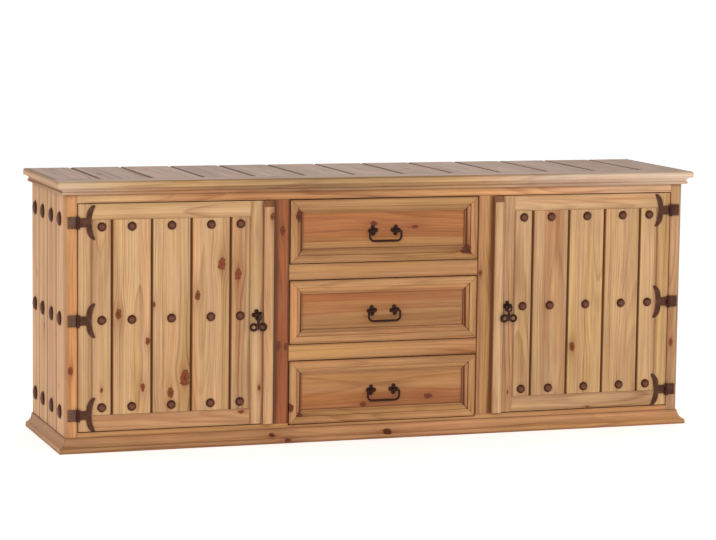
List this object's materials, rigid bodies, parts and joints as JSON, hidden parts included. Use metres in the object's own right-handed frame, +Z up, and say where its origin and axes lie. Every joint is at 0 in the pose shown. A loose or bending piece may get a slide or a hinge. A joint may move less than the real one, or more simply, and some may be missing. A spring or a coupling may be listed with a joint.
{
  "type": "trastero cabinet",
  "caption": "Long low pine cabinet with nailed plank doors on strap hinges, bail-pull drawers between them, a planked top and moulded crown and base.",
  "frame": {"origin": "on the floor under the middle of the bounding box", "axes": "+X to the right seen from the front, the front faces -Y, +Z up"},
  "size_m": [1.852, 0.451, 0.732],
  "materials": {
    "iron": "dark brown forged iron, dull, worn",
    "drawer_panel_pine": "reddish brown waxed pine",
    "drawer_frame_pine": "waxed pine, mid brown",
    "drawer_box_pine": "plain unfinished pine",
    "reddish_pine": "reddish brown waxed pine",
    "frame_pine": "orange tan waxed pine",
    "inner_pine": "plain pine",
    "door_pine": "tan waxed pine with knots",
    "side_pine": "tan waxed pine with knots",
    "top_pine": "tan waxed pine, a soft sheen",
    "crown_pine": "brown waxed pine",
    "base_pine": "brown waxed pine"
  },
  "bodies": {
    "case": {"back_planks": "inner_pine", "back_rail": "inner_pine", "base_moulding": "base_pine", "bottom_board": "inner_pine", "bottom_rail": "frame_pine", "crown_moulding": "crown_pine", "drawer_rails": "frame_pine", "drawer_runners": "inner_pine", "left_centre_stile": "reddish_pine", "left_corner_post": "frame_pine", "left_post_hinge_leaves": "iron", "left_side_planks": "side_pine", "partitions": "inner_pine", "right_centre_stile": "frame_pine", "right_corner_post": "frame_pine", "right_post_hinge_leaves": "iron", "right_side_planks": "side_pine", "shelf_cleats": "inner_pine", "shelves": "inner_pine", "side_battens": "inner_pine", "side_nail_heads": "iron", "top_front_border": "top_pine", "top_planks": "top_pine", "top_rail": "frame_pine"},
    "left_door": {"left_door_frame": "door_pine", "left_door_planks": "door_pine", "left_door_battens": "inner_pine", "left_door_nail_heads": "iron", "left_door_cover_strip": "frame_pine", "left_door_hinge_leaves": "iron", "left_door_pull_post": "iron"},
    "left_drop_pull": {"left_drop_pull": "iron"},
    "right_door": {"right_door_frame": "door_pine", "right_door_planks": "door_pine", "right_door_battens": "inner_pine", "right_door_nail_heads": "iron", "right_door_cover_strip": "frame_pine", "right_door_hinge_leaves": "iron", "right_door_pull_post": "iron"},
    "right_drop_pull": {"right_drop_pull": "iron"},
    "upper_drawer": {"upper_drawer_frame": "drawer_frame_pine", "upper_drawer_panel": "drawer_panel_pine", "upper_drawer_box": "drawer_box_pine", "upper_drawer_bottom": "drawer_box_pine", "upper_drawer_pull_posts": "iron"},
    "upper_bail": {"upper_drawer_bail": "iron"},
    "middle_drawer": {"middle_drawer_frame": "drawer_frame_pine", "middle_drawer_panel": "drawer_panel_pine", "middle_drawer_box": "drawer_box_pine", "middle_drawer_bottom": "drawer_box_pine", "middle_drawer_pull_posts": "iron"},
    "middle_bail": {"middle_drawer_bail": "iron"},
    "lower_drawer": {"lower_drawer_frame": "drawer_frame_pine", "lower_drawer_panel": "drawer_panel_pine", "lower_drawer_box": "drawer_box_pine", "lower_drawer_bottom": "drawer_box_pine", "lower_drawer_pull_posts": "iron"},
    "lower_bail": {"lower_drawer_bail": "iron"}
  },
  "joints": [
    {"name": "left_door_hinge", "type": "hinge", "parent": "case", "child": "left_door", "pos_m": [-0.867, -0.2048, 0.366], "axis": [0, 0, -1], "range_deg": [0, 180]},
    {"name": "left_drop_pull_hinge", "type": "hinge", "parent": "left_door", "child": "left_drop_pull", "pos_m": [-0.368, -0.2155, 0.358], "axis": [-1, 0, 0], "range_deg": [-2, 180]},
    {"name": "right_door_hinge", "type": "hinge", "parent": "case", "child": "right_door", "pos_m": [0.867, -0.2048, 0.366], "axis": [0, 0, 1], "range_deg": [0, 180]},
    {"name": "right_drop_pull_hinge", "type": "hinge", "parent": "right_door", "child": "right_drop_pull", "pos_m": [0.368, -0.2155, 0.358], "axis": [-1, 0, 0], "range_deg": [-2, 180]},
    {"name": "lower_drawer_slide", "type": "slide", "parent": "case", "child": "lower_drawer", "axis": [0, -1, 0], "range_m": [0, 0.28]},
    {"name": "lower_bail_hinge", "type": "hinge", "parent": "lower_drawer", "child": "lower_bail", "pos_m": [0, -0.2065, 0.1345], "axis": [-1, 0, 0], "range_deg": [-18, 160]},
    {"name": "middle_drawer_slide", "type": "slide", "parent": "case", "child": "middle_drawer", "axis": [0, -1, 0], "range_m": [0, 0.28]},
    {"name": "middle_bail_hinge", "type": "hinge", "parent": "middle_drawer", "child": "middle_bail", "pos_m": [0, -0.2065, 0.3575], "axis": [-1, 0, 0], "range_deg": [-18, 160]},
    {"name": "upper_drawer_slide", "type": "slide", "parent": "case", "child": "upper_drawer", "axis": [0, -1, 0], "range_m": [0, 0.28]},
    {"name": "upper_bail_hinge", "type": "hinge", "parent": "upper_drawer", "child": "upper_bail", "pos_m": [0, -0.2065, 0.5805], "axis": [-1, 0, 0], "range_deg": [-18, 160]}
  ]
}
